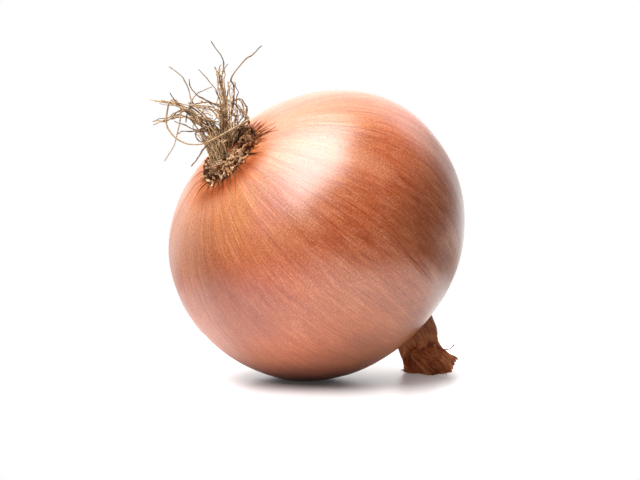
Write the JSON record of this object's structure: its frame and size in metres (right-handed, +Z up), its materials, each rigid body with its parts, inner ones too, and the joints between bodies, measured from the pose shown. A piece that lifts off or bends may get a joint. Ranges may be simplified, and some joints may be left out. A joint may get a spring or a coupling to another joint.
{
  "type": "onion",
  "caption": "Cured brown onion lying on its side, with a dried papery neck at one end and a ragged root plate and root tuft at the other.",
  "frame": {"origin": "middle of the small flat spot that the bulb rests on, on the ground", "axes": "+Z up; the bulb's own axis lies in the XZ plane, the neck towards +X and down to the ground, the root tuft towards -X and up"},
  "size_m": [0.0811, 0.076, 0.0837],
  "materials": {
    "skin": "thin copper-brown skin, satin with a soft gloss, fine lines from root to neck",
    "dry_neck": "dry brown papery leaf bases, matt and wrinkled",
    "root_plate": "crumbling woody rim, tan to dark brown, matt",
    "roots": "dried thin roots, straw to grey-brown, matt"
  },
  "bodies": {
    "root": {"bulb": "skin", "neck": "dry_neck", "root_plate": "root_plate", "roots": "roots"}
  },
  "joints": []
}
